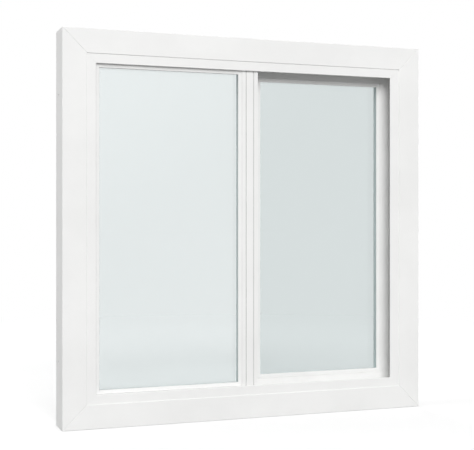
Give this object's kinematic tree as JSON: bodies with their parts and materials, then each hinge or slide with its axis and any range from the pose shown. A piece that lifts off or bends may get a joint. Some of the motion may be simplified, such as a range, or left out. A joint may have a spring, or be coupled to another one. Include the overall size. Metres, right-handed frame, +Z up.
{
  "type": "sliding window",
  "caption": "White vinyl sliding window: square mitred frame, a fixed double-glazed lite and a roller-borne sash that slides behind it, with a turning lock.",
  "frame": {"origin": "middle of the sill's underside, at mid depth", "axes": "+X to the right seen from outside, +Y from outside to the room, +Z up"},
  "size_m": [0.914, 0.08, 0.914],
  "materials": {
    "white_upvc": "satin",
    "float_glass": "polished",
    "spacer_bar": "satin",
    "lock_enamel": "gloss",
    "zinc_steel": "satin",
    "aluminium_rail": "satin",
    "nylon": "satin",
    "pile": "matte",
    "grey_elastomer": "matte",
    "black_rubber": "matte"
  },
  "bodies": {
    "frame": {"frame_head": "white_upvc", "frame_sill": "white_upvc", "frame_jamb_left": "white_upvc", "frame_jamb_right": "white_upvc", "track_head": "white_upvc", "track_sill": "white_upvc", "track_jamb_left": "white_upvc", "track_jamb_right": "white_upvc", "roller_rail": "aluminium_rail", "fixed_adaptor_head": "white_upvc", "fixed_adaptor_sill": "white_upvc", "fixed_adaptor_jamb": "white_upvc", "fixed_bead_head": "white_upvc", "fixed_bead_sill": "white_upvc", "fixed_bead_jamb": "white_upvc", "fixed_bead_rail": "white_upvc", "meeting_rail": "white_upvc", "rail_interlock": "white_upvc", "fixed_pane_outer": "float_glass", "fixed_pane_inner": "float_glass", "fixed_spacer": "spacer_bar", "fixed_edge_seal": "black_rubber", "fixed_setting_blocks": "black_rubber", "fixed_glazing_tape": "grey_elastomer", "fixed_bead_gasket": "grey_elastomer", "pile_head": "pile", "pile_sill": "pile", "pile_jamb": "pile", "pile_meeting": "pile", "lock_keeper": "zinc_steel", "keeper_screws": "zinc_steel", "open_stops": "grey_elastomer"},
    "sash": {"sash_rail_top": "white_upvc", "sash_rail_bottom": "white_upvc", "sash_stile_jamb": "white_upvc", "sash_stile_meeting": "white_upvc", "sash_bead_top": "white_upvc", "sash_bead_bottom": "white_upvc", "sash_bead_jamb": "white_upvc", "sash_bead_meeting": "white_upvc", "sash_pane_outer": "float_glass", "sash_pane_inner": "float_glass", "sash_spacer": "spacer_bar", "sash_edge_seal": "black_rubber", "sash_setting_blocks": "black_rubber", "sash_glazing_tape": "grey_elastomer", "sash_bead_gasket": "grey_elastomer", "sash_interlock": "white_upvc", "sash_guides": "nylon", "sash_pull": "white_upvc", "roller_housing_left": "zinc_steel", "roller_housing_right": "zinc_steel", "roller_axles": "zinc_steel", "lock_base": "lock_enamel", "lock_screws": "zinc_steel"},
    "roller_left": {"roller_wheel_left": "nylon"},
    "roller_right": {"roller_wheel_right": "nylon"},
    "lock": {"lock_lever": "lock_enamel"}
  },
  "joints": [
    {"name": "sash_slide", "type": "slide", "parent": "frame", "child": "sash", "axis": [-1, 0, 0], "range_m": [0, 0.3695]},
    {"name": "roller_left_spin", "type": "hinge", "parent": "sash", "child": "roller_left", "pos_m": [0.079, 0.018, 0.071], "axis": [0, -1, 0], "continuous": true},
    {"name": "roller_right_spin", "type": "hinge", "parent": "sash", "child": "roller_right", "pos_m": [0.3215, 0.018, 0.071], "axis": [0, -1, 0], "continuous": true},
    {"name": "lock_turn", "type": "hinge", "parent": "sash", "child": "lock", "pos_m": [-0.0025, 0.018, 0.457], "axis": [-1, 0, 0], "range_deg": [0, 90]}
  ],
  "couplings": [
    {"joint": "roller_left_spin", "follows": "sash_slide", "rad_per_m": 158.73},
    {"joint": "roller_right_spin", "follows": "sash_slide", "rad_per_m": 158.73}
  ]
}
